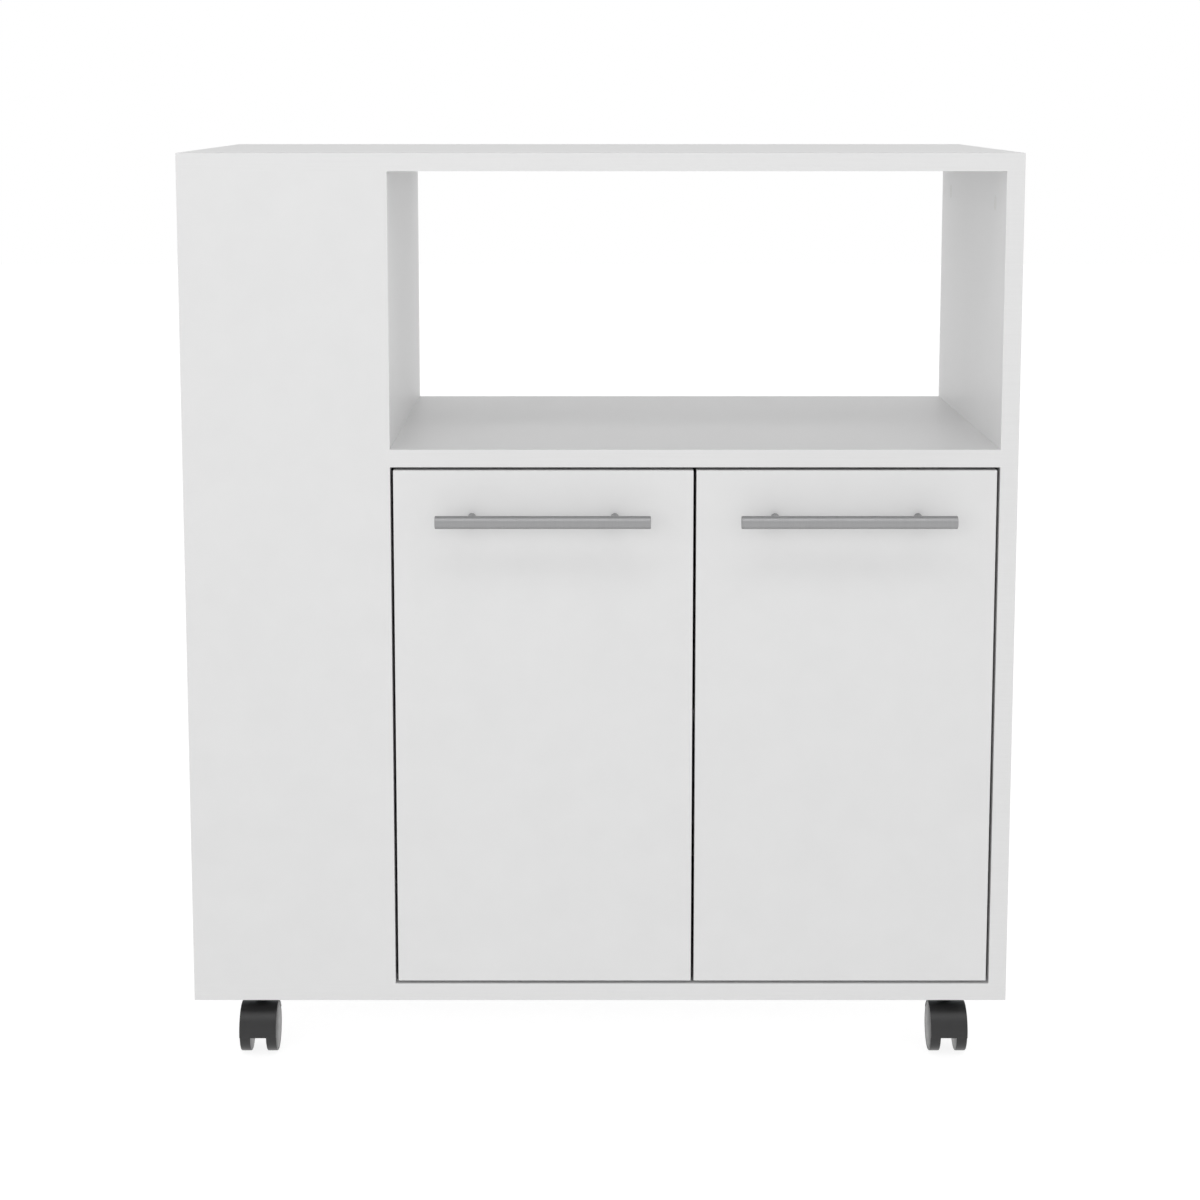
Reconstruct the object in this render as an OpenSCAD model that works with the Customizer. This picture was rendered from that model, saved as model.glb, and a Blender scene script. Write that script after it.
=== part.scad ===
// Microwave cart: an open bay over a cupboard with two inset doors, a side
// column with shelves reached from the left, and four hooded twin-wheel casters.
// Millimetres. X runs to the right, Y to the back and Z up. The origin is on the
// floor under the middle of the cart, handles included.

/* [Cabinet] */
// Width of the top and bottom panels
cart_width = 840; // [780:1:900]
// Depth of the top and bottom panels
cabinet_depth = 450; // [420:1:520]
// Height from the underside of the bottom panel to the top face
carcass_height = 872; // [800:1:960]
// Thickness of the laminated boards
board_t = 18; // [16:1:20]
// Width of the side column, from the left edge to the bay
column_width = 208.5; // [190:0.5:240]
// Clear height of the microwave bay
bay_height = 278; // [250:1:320]
// Thickness of the hardboard back
back_t = 3; // [3:0.5:5]
// Depth of the groove round the hardboard back
groove_depth = 6; // [4:0.5:8]
// Distance from the rear edges to the back groove
back_inset = 12; // [10:1:20]
// Thickness of the loose cupboard shelf
loose_shelf_t = 15; // [12:1:18]
// Distance of the loose shelf behind the doors
loose_shelf_setback = 40; // [30:1:80]

/* [Doors] */
// Gap round and between the doors
door_gap = 3; // [2:0.5:4]
// Distance from a door's end to the middle of its hinge
hinge_inset = 90; // [70:1:130]
// Diameter of the hinge cup
cup_d = 35; // [34:0.5:36]
// Depth of the hinge cup in the door
cup_depth = 11.5; // [11:0.5:12.5]
// Distance from the door's edge to the middle of the cup
cup_edge = 22.5; // [21.5:0.5:25]
// Distance from the door's back face to the middle of the mounting plate
plate_setback = 37; // [36:0.5:40]

/* [Handles] */
// Diameter of the handle bar
bar_d = 13; // [10:0.5:14]
// Length of the handle bar
bar_length = 215; // [190:1:240]
// Distance between the two posts of a handle
post_spacing = 144; // [120:1:160]
// Diameter of a handle post
post_d = 8; // [7:0.5:9]
// Distance from the door's face to the middle of the bar
bar_standoff = 32.5; // [28:0.5:40]
// Distance from the door's top edge to the middle of the bar
bar_drop = 47.5; // [35:0.5:70]

/* [Casters] */
// Diameter of a wheel
wheel_d = 50; // [45:1:52]
// Width of one wheel
wheel_w = 10.8; // [9:0.1:12]
// Clear width between the two wheels of a caster
wheel_gap = 16.4; // [15.8:0.1:18]
// Height from the floor to the top of the mounting plate
caster_height = 60; // [59:1:66]
// Distance of a wheel axle from its kingpin
caster_trail = 18; // [17:0.5:20]
// Distance of the kingpins from the front and rear edges
caster_setback = 37; // [34:0.5:60]
// Distance of the left kingpins from the left edge
caster_inset_left = 65.5; // [50:0.5:90]
// Distance of the right kingpins from the right edge
caster_inset_right = 58.5; // [50:0.5:90]

/* [Hidden] */
$fn = 64;

// Clearances between pieces
run_fit = 0.08;         // radial, a pin that turns in its bore
still_fit = 0.05;       // radial, a pin that is pressed home
slide_fit = 0.2;        // each side, a board in its groove
end_gap = 0.3;          // axial, between pieces that turn on each other

// Planes of the cabinet
handle_reach = bar_standoff + bar_d / 2;
front_y = -(cabinet_depth - handle_reach) / 2;
back_y = front_y + cabinet_depth;
left_x = -cart_width / 2;
right_x = cart_width / 2;
bottom_z = caster_height;
top_z = caster_height + carcass_height;
floor_z = bottom_z + board_t;
ceiling_z = top_z - board_t;
bay_floor_z = ceiling_z - bay_height;
bay_shelf_z = bay_floor_z - board_t;
bay_left = left_x + column_width;
bay_right = right_x - board_t;
divider_left = bay_left - board_t;
column_front_y = front_y + board_t;
column_back_y = back_y - board_t;
column_inner_h = ceiling_z - floor_z;
side_bay_h = (column_inner_h - 2 * board_t) / 3;
side_shelf_zs = [floor_z + side_bay_h, floor_z + 2 * side_bay_h + board_t];
groove_front_y = back_y - back_inset - back_t - slide_fit;
groove_w = back_t + 2 * slide_fit;

// Doors
door_t = board_t;
door_w = (bay_right - bay_left - 3 * door_gap) / 2;
door_bottom_z = floor_z + door_gap;
door_top_z = bay_shelf_z - door_gap;
door_back_y = front_y + door_t;
left_door_x = bay_left + door_gap;
right_door_x = bay_right - door_gap - door_w;
hinge_zs = [door_bottom_z + hinge_inset, door_top_z - hinge_inset];
left_pivot_x = bay_left + door_gap / 2;
right_pivot_x = bay_right - door_gap / 2;
bar_z = door_top_z - bar_drop;
bar_y = front_y - bar_standoff;

// Handle fasteners
handle_screw_d = 4;
handle_head_d = 8;
handle_head_t = 2.4;
post_thread_depth = 12;
post_stud_d = 5;
post_stud_l = 4;
bar_chamfer = 0.8;

// Knock-down fittings
cam_d = 15;
cam_h = 12.5;
cam_reach = 34;         // from the board's edge to the middle of the cam
cover_t = 0.8;
cam_seat = board_t / 2 - cam_h - cover_t;
bolt_d = 7;
bolt_neck_d = 5;
bolt_thread_d = 6;
bolt_thread_l = 11;
dowel_d = 8;
slim_dowel_d = 6;       // between the divider and the column's back
dowel_l = 29;
dowel_in_face = 11.5;   // part of a dowel that stands in the other board's face
dowel_pitch = 32;       // from a cam bolt to its dowel
joint_inset = 68;       // from the outer edge of a board to the cam bolt
column_mid_x = (left_x + divider_left) / 2;
divider_mid_x = bay_left - board_t / 2;
groove_left_x = bay_left - groove_depth - slide_fit;
slim_dowel_x = (divider_left + groove_left_x) / 2;
right_mid_x = bay_right + board_t / 2;
joint_ys = [front_y + joint_inset, back_y - joint_inset];

// Loose shelf and its pins
loose_shelf_z = (floor_z + bay_shelf_z - loose_shelf_t) / 2;
loose_shelf_gap = 0.8;
loose_front_y = door_back_y + loose_shelf_setback;
loose_back_y = groove_front_y - loose_shelf_gap;
pin_d = 5;
pin_depth = 9;
pin_reach = 8;
pin_pitch = 32;
pin_inset = 37;
pin_ys = [loose_front_y + pin_inset, loose_back_y - pin_inset];

// Concealed hinges, drawn in plan round the corner where door and board meet
panel_u = -door_gap / 2;
cup_u = door_gap / 2 + cup_edge;
cup_wall = 1.1;
flange_t = 1.2;
flange_d = cup_d + 5;
ear_r = 6;
ear_u = 9.5;            // ear screws, from the cup's middle away from the door's edge
ear_v = 22.5;           // ear screws, above and below the cup's middle
plate_v = door_t + plate_setback;
plate_base_t = 2;
plate_base_l = 12;
plate_wing = 23;        // half the height of the mounting plate
plate_rib_t = 7.5;
plate_rib_w = 12.6;
plate_rib_front = -14;  // ends of the rib, from the plate's middle
plate_rib_back = 34;
plate_hole_v = 16;      // mounting screws, above and below the plate's middle
arm_w = 16;
arm_t = 1.2;
arm_foot = 3;           // from the board to the arm's lower edges
arm_back = 3;           // past the plate's rib
arm_bend = 5;           // crank of the arm, in front of the plate's middle
arm_cheek_front = 15;   // where the cheeks leave the board, in front of the plate's middle
arm_web_side = 3.5;     // front end of the arm's web, from the arm's pin
arm_web_behind = 11;
wood_screw_d = 3.5;
wood_screw_l = 13;
wood_head_d = 7;
wood_head_t = 1.8;
arm_screw_d = 5;
arm_screw_vs = [3, 28];
arm_screw_head_d = 8;
arm_pin_side = 3.5;     // arm's pin, from the cup's middle towards the door's edge
arm_pin_behind = 5;     // arm's pin, behind the door's back face
cup_pin_sunk = 3;       // cup's pin, in front of the door's back face
// The two links of a hinge, the arm and the door form a parallelogram: the swing link
// runs from the arm's pin and turns with the door, the cup link stays parallel to itself
arm_pin_at = [cup_u - arm_pin_side, door_t + arm_pin_behind];
cup_pin_at = [cup_u, door_t - cup_pin_sunk];
link_pin_at = arm_pin_at + cup_pin_at;
link_pin_d = 3;
pin_proud = 0.3;        // at each end of a link's or arm's pin
link_eye_r = 3;
link_w = 4.4;
swing_out_w = 10.4;     // over both plates of the swing link
swing_plate_t = 2;
cup_link_w = 5.6;
arm_eye_r = 4.2;

// Casters
axle_drop = caster_height - wheel_d / 2;
axle_d = 6;
hood_wall = 1.3;
hood_clear = 0.5;
hood_in_r = wheel_d / 2 + hood_clear;
hood_out_r = hood_in_r + hood_wall;
hood_half_w = wheel_gap / 2 + wheel_w;
hood_edge_r = 0.45 * hood_wall;
hood_lip_deg = 7;       // front lip, below the axle's height
hood_rear_deg = 30;     // rear lip, above the axle's height
web_t = 8;
web_front_deg = 35;
web_span = 3 * hood_out_r;  // past the hood on every side
axle_boss_r = 5.5;
tower_r = 7.5;
tower_floor = 3;
kingpin_d = 8;
kingpin_flange_d = 16;
kingpin_flange_t = 1.5;
kingpin_chamfer = 1;
snap_at = 4;            // groove of the kingpin, from its tip
snap_w = 2;
snap_depth = 0.8;
snap_slope = 0.4;
plate_t = 2;
plate_side = 38;
plate_corner_r = 5;
plate_screw_pitch = 28;
tower_top = plate_t + kingpin_flange_t + end_gap;
tower_bottom = axle_drop - 4;
kingpin_tip = tower_bottom - tower_floor - 1;
caster_screw_d = 4;
caster_screw_l = 14;
caster_head_d = 7;
caster_head_t = 2;
wheel_edge_r = 1;
rim_w = 2;              // from the tread to the ring groove in the outer face
ring_w = 0.8;
ring_depth = 0.6;
axle_skin = 2;          // wheel left outside the axle's end
CORNERS = [[-1, -1], [1, -1], [-1, 1], [1, 1]];

board_white = "#e6e6e6";
steel = "#b4b6b8";
zinc = "#a6a8aa";
caster_black = "#2b2b2d";
beech = "#d9b98c";

// ---- Helpers -------------------------------------------------------------

// Box from one corner to the other
module span(a, b) {
    translate(a)
        cube(b - a);
}

// Extrude an outline of (Y, Z) points along X, about the middle
module along_x(w) {
    rotate([90, 0, 90])
        linear_extrude(w, center = true)
            children();
}

// Cylinder along Y that starts at y = 0 and runs to positive y
module rod_y(r, l) {
    rotate([-90, 0, 0])
        cylinder(r = r, h = l);
}

// Joint lists: [x, y, z, turn about Z, tilt]. After the turn and tilt, local +Z runs
// from the board with the cam into the other board, local +X is the cam's face.
function upright_joints(x, top, turn, bottom_turn, ys) =
    [for (y = ys) top ? [x, y, ceiling_z, turn, 0] : [x, y, floor_z, bottom_turn, 180]];
function divider_joints(top) = upright_joints(divider_mid_x, top, 180, 0, joint_ys);
function right_joints(top) = upright_joints(right_mid_x, top, 180, 0, joint_ys);
function column_front_joints(top) =
    upright_joints(column_mid_x, top, 90, -90, [front_y + board_t / 2]);
function column_back_joints(top) =
    upright_joints(column_mid_x, top, -90, 90, [back_y - board_t / 2]);
function level_joints(top) =
    concat(divider_joints(top), right_joints(top), column_front_joints(top), column_back_joints(top));
bay_shelf_left_joints = [for (y = joint_ys) [bay_left, y, bay_shelf_z + board_t / 2, 180, 90]];
bay_shelf_right_joints = [for (y = joint_ys) [bay_right, y, bay_shelf_z + board_t / 2, 0, 90]];
function side_shelf_joints(z) =
    [for (y = [column_front_y + joint_inset, column_back_y - joint_inset])
        [divider_left, y, z + board_t / 2, 0, 90]];
all_cam_joints = concat(
    level_joints(true), level_joints(false), bay_shelf_left_joints, bay_shelf_right_joints,
    side_shelf_joints(side_shelf_zs[0]), side_shelf_joints(side_shelf_zs[1]));

// Dowel-only joints, in the same form
function side_shelf_front_dowels(z) = [[column_mid_x, column_front_y, z + board_t / 2, -90, 90]];
function side_shelf_back_dowels(z) = [[column_mid_x, column_back_y, z + board_t / 2, 90, 90]];
divider_edge_zs = [for (k = [1, 3, 5]) floor_z + column_inner_h * k / 6];
divider_front_dowels = [for (z = divider_edge_zs) [divider_mid_x, column_front_y, z, -90, 90]];
divider_back_dowels = [for (z = divider_edge_zs) [slim_dowel_x, column_back_y, z, 90, 90]];
all_plain_dowels = concat(
    side_shelf_front_dowels(side_shelf_zs[0]), side_shelf_front_dowels(side_shelf_zs[1]),
    side_shelf_back_dowels(side_shelf_zs[0]), side_shelf_back_dowels(side_shelf_zs[1]),
    divider_front_dowels);

module each_joint(joints) {
    for (j = joints)
        translate([j[0], j[1], j[2]])
            rotate([0, 0, j[3]])
                rotate([0, j[4], 0])
                    children();
}

// A dowel lies beside its cam bolt, towards the middle of the board
module beside_bolt(joints) {
    for (j = joints)
        translate([j[0], j[1], j[2]])
            rotate([0, 0, j[3]])
                rotate([0, j[4], 0])
                    translate([0, (j[1] > 0 ? -1 : 1) * (j[3] == 180 ? -1 : 1) * dowel_pitch, 0])
                        children();
}

module dowel_hole_edge(d = dowel_d) {
    depth = dowel_l - dowel_in_face + 1;
    translate([0, 0, -depth])
        cylinder(d = d + 2 * still_fit, h = depth + 1);
}

module dowel_hole_face(d = dowel_d) {
    translate([0, 0, -1])
        cylinder(d = d + 2 * still_fit, h = dowel_in_face + 1.5);
}

// Pocket for the cam and bore for the bolt, cut in the board with the cam
module cam_cut() {
    translate([cam_seat - slide_fit, 0, -cam_reach])
        rotate([0, 90, 0])
            cylinder(d = cam_d + 2 * still_fit, h = cam_h + cover_t + 1);
    translate([0, 0, -cam_reach])
        cylinder(d = bolt_d + 2 * slide_fit, h = cam_reach + 1);
}

// Pilot for the bolt's thread, cut in the other board's face
module bolt_pilot() {
    translate([0, 0, -1])
        cylinder(d = bolt_thread_d + 2 * still_fit, h = bolt_thread_l + 1.5);
}

module cam_edge_cuts(joints) {
    each_joint(joints)
        cam_cut();
    beside_bolt(joints)
        dowel_hole_edge();
}

module cam_face_cuts(joints) {
    each_joint(joints)
        bolt_pilot();
    beside_bolt(joints)
        dowel_hole_face();
}

// Groove for the hardboard back, cut along the four sides of the cupboard's opening
module back_groove() {
    span([groove_left_x, groove_front_y, floor_z - groove_depth - slide_fit],
        [bay_right + groove_depth + slide_fit, groove_front_y + groove_w,
            bay_shelf_z + groove_depth + slide_fit]);
}

// Rows of holes for the shelf pins, on one side of the cupboard
module pin_holes(x, into) {
    for (y = pin_ys, k = [-1, 0, 1])
        translate([x - into, y, loose_shelf_z - pin_d / 2 + k * pin_pitch])
            rotate([0, into * 90, 0])
                cylinder(d = pin_d + 2 * still_fit, h = pin_depth + 2);
}

// Pilot holes of the mounting plates, on one side of the cupboard
module plate_pilots(x, into) {
    for (z = hinge_zs, s = [-1, 1])
        translate([x - into, front_y + plate_v, z + s * plate_hole_v])
            rotate([0, into * 90, 0])
                cylinder(d = wood_screw_d + 2 * still_fit, h = wood_screw_l + 1);
}

// ---- Boards --------------------------------------------------------------

module top_panel() {
    color(board_white)
        difference() {
            span([left_x, front_y, ceiling_z], [right_x, back_y, top_z]);
            cam_face_cuts(level_joints(true));
        }
}

module bottom_panel() {
    color(board_white)
        difference() {
            span([left_x, front_y, bottom_z], [right_x, back_y, floor_z]);
            cam_face_cuts(level_joints(false));
            back_groove();
            at_casters()
                plate_corners()
                    translate([0, 0, -1])
                        cylinder(d = caster_screw_d + 2 * still_fit, h = caster_screw_l + 1);
        }
}

module right_side_panel() {
    color(board_white)
        difference() {
            span([bay_right, front_y, floor_z], [right_x, back_y, ceiling_z]);
            cam_edge_cuts(right_joints(true));
            cam_edge_cuts(right_joints(false));
            cam_face_cuts(bay_shelf_right_joints);
            back_groove();
            pin_holes(bay_right, 1);
            plate_pilots(bay_right, 1);
        }
}

module divider_panel() {
    color(board_white)
        difference() {
            span([divider_left, column_front_y, floor_z], [bay_left, column_back_y, ceiling_z]);
            cam_edge_cuts(divider_joints(true));
            cam_edge_cuts(divider_joints(false));
            cam_face_cuts(bay_shelf_left_joints);
            cam_face_cuts(side_shelf_joints(side_shelf_zs[0]));
            cam_face_cuts(side_shelf_joints(side_shelf_zs[1]));
            each_joint(divider_front_dowels)
                dowel_hole_edge();
            each_joint(divider_back_dowels)
                dowel_hole_edge(slim_dowel_d);
            pin_holes(bay_left, -1);
            plate_pilots(bay_left, -1);
        }
}

module column_front_panel() {
    color(board_white)
        difference() {
            span([left_x, front_y, floor_z], [bay_left, column_front_y, ceiling_z]);
            cam_edge_cuts(column_front_joints(true));
            cam_edge_cuts(column_front_joints(false));
            each_joint(divider_front_dowels)
                dowel_hole_face();
            for (z = side_shelf_zs)
                each_joint(side_shelf_front_dowels(z))
                    dowel_hole_face();
        }
}

module column_back_panel() {
    color(board_white)
        difference() {
            span([left_x, column_back_y, floor_z], [bay_left, back_y, ceiling_z]);
            cam_edge_cuts(column_back_joints(true));
            cam_edge_cuts(column_back_joints(false));
            each_joint(divider_back_dowels)
                dowel_hole_face(slim_dowel_d);
            for (z = side_shelf_zs)
                each_joint(side_shelf_back_dowels(z))
                    dowel_hole_face();
            back_groove();
        }
}

module side_shelf(z) {
    color(board_white)
        difference() {
            span([left_x, column_front_y, z], [divider_left, column_back_y, z + board_t]);
            cam_edge_cuts(side_shelf_joints(z));
            each_joint(side_shelf_front_dowels(z))
                dowel_hole_edge();
            each_joint(side_shelf_back_dowels(z))
                dowel_hole_edge();
        }
}

module side_shelf_lower() {
    side_shelf(side_shelf_zs[0]);
}

module side_shelf_upper() {
    side_shelf(side_shelf_zs[1]);
}

module microwave_shelf() {
    color(board_white)
        difference() {
            span([bay_left, front_y, bay_shelf_z], [bay_right, back_y, bay_floor_z]);
            cam_edge_cuts(bay_shelf_left_joints);
            cam_edge_cuts(bay_shelf_right_joints);
            back_groove();
        }
}

module cupboard_back() {
    color(board_white)
        span([bay_left - groove_depth, groove_front_y + slide_fit, floor_z - groove_depth],
            [bay_right + groove_depth, groove_front_y + slide_fit + back_t, bay_shelf_z + groove_depth]);
}

module cupboard_shelf() {
    color(board_white)
        span([bay_left + loose_shelf_gap, loose_front_y, loose_shelf_z],
            [bay_right - loose_shelf_gap, loose_back_y, loose_shelf_z + loose_shelf_t]);
}

// ---- Fittings of the boards ------------------------------------------------

// Pin in the board's hole, with a flat-topped collar under the shelf
module shelf_pin(x, y, into) {
    translate([x, y, loose_shelf_z - pin_d / 2]) {
        translate([into * (pin_depth - 0.5), 0, 0])
            rotate([0, -into * 90, 0])
                cylinder(d = pin_d, h = pin_depth - 0.5 + pin_reach);
        rotate([0, -into * 90, 0])
            cylinder(d = pin_d + 3, h = 1);
    }
}

module shelf_pins() {
    color(steel)
        difference() {
            for (y = pin_ys) {
                shelf_pin(bay_left, y, -1);
                shelf_pin(bay_right, y, 1);
            }
            span([bay_left, loose_front_y, loose_shelf_z],
                [bay_right, loose_back_y, loose_shelf_z + loose_shelf_t]);
        }
}

// Round cam with the mouth for the bolt's head and a crossed recess in its face
module cam() {
    translate([cam_seat, 0, -cam_reach])
        difference() {
            rotate([0, 90, 0])
                cylinder(d = cam_d, h = cam_h);
            translate([-cam_seat, 0, -0.5])
                cylinder(d = bolt_d + 2 * slide_fit, h = cam_d);
            for (turn = [0, 90])
                translate([cam_h, 0, 0])
                    rotate([turn, 0, 0])
                        cube([2.4, 8, 1.6], center = true);
        }
}

module cam_housings() {
    color(zinc)
        each_joint(all_cam_joints)
            cam();
}

// Plastic cover pressed in over each cam, flush with the board
module cam_covers() {
    color(board_white)
        each_joint(all_cam_joints)
            translate([cam_seat + cam_h, 0, -cam_reach])
                rotate([0, 90, 0])
                    cylinder(d = cam_d, h = cover_t);
}

// Bolt: thread in the face, shank, neck and head held by the cam
module cam_bolt() {
    cylinder(d = bolt_thread_d, h = bolt_thread_l);
    translate([0, 0, -cam_reach + 8])
        cylinder(d = bolt_d, h = cam_reach - 8);
    translate([0, 0, -cam_reach + 2])
        cylinder(d = bolt_neck_d, h = 7);
    translate([0, 0, -cam_reach])
        cylinder(d = bolt_d - 0.6, h = 3);
}

module cam_bolts() {
    color(steel)
        each_joint(all_cam_joints)
            cam_bolt();
}

module dowel(d = dowel_d) {
    translate([0, 0, dowel_in_face - dowel_l])
        cylinder(d = d, h = dowel_l);
}

module dowels() {
    color(beech) {
        beside_bolt(all_cam_joints)
            dowel();
        each_joint(all_plain_dowels)
            dowel();
        each_joint(divider_back_dowels)
            dowel(slim_dowel_d);
    }
}

// ---- Doors and handles -----------------------------------------------------

// Left door's hinge corner in plan: +X along the door, +Y into the cupboard
module at_left_hinges() {
    for (z = hinge_zs)
        translate([left_pivot_x, front_y, z])
            children();
}

module at_right_hinges() {
    for (z = hinge_zs)
        translate([right_pivot_x, front_y, z])
            mirror([1, 0, 0])
                children();
}

module at_posts(door_x) {
    for (s = [-1, 1])
        translate([door_x + door_w / 2 + s * post_spacing / 2, front_y, bar_z])
            children();
}

module cup_bore() {
    translate([cup_u, door_t - cup_depth - slide_fit, 0])
        rod_y(cup_d / 2 + still_fit, cup_depth + 1);
    for (s = [-1, 1])
        translate([cup_u + ear_u, door_t - wood_screw_l + flange_t, s * ear_v])
            rod_y(wood_screw_d / 2 + still_fit, wood_screw_l);
}

module door_board(x) {
    span([x, front_y, door_bottom_z], [x + door_w, door_back_y, door_top_z]);
}

module post_holes(x) {
    at_posts(x)
        translate([0, -1, 0])
            rod_y(handle_screw_d / 2 + slide_fit, door_t + 2);
}

module left_door() {
    color(board_white)
        difference() {
            door_board(left_door_x);
            at_left_hinges()
                cup_bore();
            post_holes(left_door_x);
        }
}

module right_door() {
    color(board_white)
        difference() {
            door_board(right_door_x);
            at_right_hinges()
                cup_bore();
            post_holes(right_door_x);
        }
}

// Round bar with chamfered ends and a hole for each post's stud
module handle_bar(x) {
    color(steel)
        difference() {
            translate([x + door_w / 2, bar_y, bar_z])
                rotate([0, 90, 0])
                    rotate_extrude()
                        polygon([
                            [0, -bar_length / 2], [bar_d / 2 - bar_chamfer, -bar_length / 2],
                            [bar_d / 2, -bar_length / 2 + bar_chamfer],
                            [bar_d / 2, bar_length / 2 - bar_chamfer],
                            [bar_d / 2 - bar_chamfer, bar_length / 2], [0, bar_length / 2]
                        ]);
            at_posts(x)
                translate([0, -bar_standoff + bar_d / 2 - post_stud_l - 0.5, 0])
                    rod_y(post_stud_d / 2 + still_fit, bar_d);
        }
}

module left_handle_bar() {
    handle_bar(left_door_x);
}

module right_handle_bar() {
    handle_bar(right_door_x);
}

// Post coped to the bar, with a stud in the bar and a threaded hole for the screw
module handle_post() {
    difference() {
        translate([0, -bar_standoff, 0])
            rod_y(post_d / 2, bar_standoff);
        translate([0, -bar_standoff, 0])
            rotate([0, 90, 0])
                cylinder(d = bar_d + 2 * still_fit, h = 2 * post_d, center = true);
        translate([0, -post_thread_depth, 0])
            rod_y(handle_screw_d / 2, post_thread_depth + 1);
    }
    translate([0, -bar_standoff + bar_d / 2 - post_stud_l, 0])
        rod_y(post_stud_d / 2, post_stud_l + 1);
}

module left_handle_posts() {
    color(steel)
        at_posts(left_door_x)
            handle_post();
}

module right_handle_posts() {
    color(steel)
        at_posts(right_door_x)
            handle_post();
}

// Machine screw from inside the door, with a low round head
module handle_screw() {
    translate([0, -post_thread_depth + 1, 0])
        rod_y(handle_screw_d / 2 - still_fit, door_t + post_thread_depth);
    translate([0, door_t, 0])
        difference() {
            rod_y(handle_head_d / 2, handle_head_t);
            for (turn = [0, 90])
                translate([0, handle_head_t, 0])
                    rotate([0, turn, 0])
                        cube([4, 2.4, 0.9], center = true);
        }
}

module left_handle_screws() {
    color(zinc)
        at_posts(left_door_x)
            handle_screw();
}

module right_handle_screws() {
    color(zinc)
        at_posts(right_door_x)
            handle_screw();
}

// ---- Concealed hinges --------------------------------------------------------

// Pressed cup with its flange and two screw ears, seen from behind the door
module hinge_cup() {
    difference() {
        union() {
            translate([cup_u, door_t - cup_depth, 0])
                rod_y(cup_d / 2, cup_depth + flange_t / 2);
            translate([cup_u, door_t, 0])
                rotate([-90, 0, 0])
                    linear_extrude(flange_t) {
                        circle(d = flange_d);
                        for (s = [-1, 1])
                            translate([ear_u, s * ear_v])
                                circle(r = ear_r);
                        translate([ear_u - ear_r, -ear_v])
                            square([2 * ear_r, 2 * ear_v]);
                    }
        }
        translate([cup_u, door_t - cup_depth + cup_wall, 0])
            rod_y(cup_d / 2 - cup_wall, cup_depth + 2);
        translate([cup_pin_at[0], cup_pin_at[1], 0])
            cylinder(d = link_pin_d + 2 * still_fit, h = cup_d + 2, center = true);
        for (s = [-1, 1])
            translate([cup_u + ear_u, door_t - 1, s * ear_v])
                rod_y(wood_screw_d / 2 + slide_fit, 4);
    }
}

// Upright pin across the cup, held in its wall
module cup_pin() {
    translate([cup_pin_at[0], cup_pin_at[1], 0])
        cylinder(d = link_pin_d, h = cup_d - 2 * pin_proud, center = true);
}

module left_cup_pins() {
    color(zinc)
        at_left_hinges()
            cup_pin();
}

module right_cup_pins() {
    color(zinc)
        at_right_hinges()
            cup_pin();
}

// Flat bar with round eyes between two points in plan, of thickness h
module link_bar(a, b, h) {
    v = b - a;
    for (p = [a, b])
        translate([p[0], p[1], 0])
            cylinder(r = link_eye_r, h = h);
    translate([a[0], a[1], 0])
        rotate([0, 0, atan2(v[1], v[0])])
            translate([0, -link_w / 2, 0])
                cube([norm(v), link_w, h]);
}

// Two plates joined by the tube that turns on the arm's pin
module swing_link() {
    difference() {
        union() {
            for (z = [-swing_out_w / 2, swing_out_w / 2 - swing_plate_t])
                translate([0, 0, z])
                    link_bar(arm_pin_at, link_pin_at, swing_plate_t);
            translate([arm_pin_at[0], arm_pin_at[1], 0])
                cylinder(r = link_eye_r, h = swing_out_w, center = true);
        }
        translate([arm_pin_at[0], arm_pin_at[1], 0])
            cylinder(d = link_pin_d + 2 * run_fit, h = arm_w, center = true);
        translate([link_pin_at[0], link_pin_at[1], 0])
            cylinder(d = link_pin_d + 2 * still_fit, h = arm_w, center = true);
    }
}

module left_swing_links() {
    color(steel)
        at_left_hinges()
            swing_link();
}

module right_swing_links() {
    color(steel)
        at_right_hinges()
            swing_link();
}

// Pin riveted in the swing link, on which the cup link turns
module link_pin() {
    translate([link_pin_at[0], link_pin_at[1], 0])
        cylinder(d = link_pin_d, h = swing_out_w + 2 * pin_proud, center = true);
}

module left_link_pins() {
    color(zinc)
        at_left_hinges()
            link_pin();
}

module right_link_pins() {
    color(zinc)
        at_right_hinges()
            link_pin();
}

// Thick single bar between the swing link's plates and the cup's pin
module cup_link() {
    difference() {
        translate([0, 0, -cup_link_w / 2])
            link_bar(cup_pin_at, link_pin_at, cup_link_w);
        for (p = [cup_pin_at, link_pin_at])
            translate([p[0], p[1], 0])
                cylinder(d = link_pin_d + 2 * run_fit, h = arm_w, center = true);
    }
}

module left_cup_links() {
    color(steel)
        at_left_hinges()
            cup_link();
}

module right_cup_links() {
    color(steel)
        at_right_hinges()
            cup_link();
}

module left_hinge_cups() {
    color(steel)
        at_left_hinges()
            hinge_cup();
}

module right_hinge_cups() {
    color(steel)
        at_right_hinges()
            hinge_cup();
}

// Wood screw along -Y from the face it holds, with a countersunk-look flat head
module wood_screw(l, d, head_d, head_t) {
    rod_y(head_d / 2, head_t);
    translate([0, -l, 0])
        rod_y(d / 2, l + head_t / 2);
}

module cup_screw_pair() {
    for (s = [-1, 1])
        translate([cup_u + ear_u, door_t + flange_t, s * ear_v])
            wood_screw(wood_screw_l - 1.5, wood_screw_d, wood_head_d, wood_head_t);
}

module left_cup_screws() {
    color(zinc)
        at_left_hinges()
            cup_screw_pair();
}

module right_cup_screws() {
    color(zinc)
        at_right_hinges()
            cup_screw_pair();
}

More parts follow.
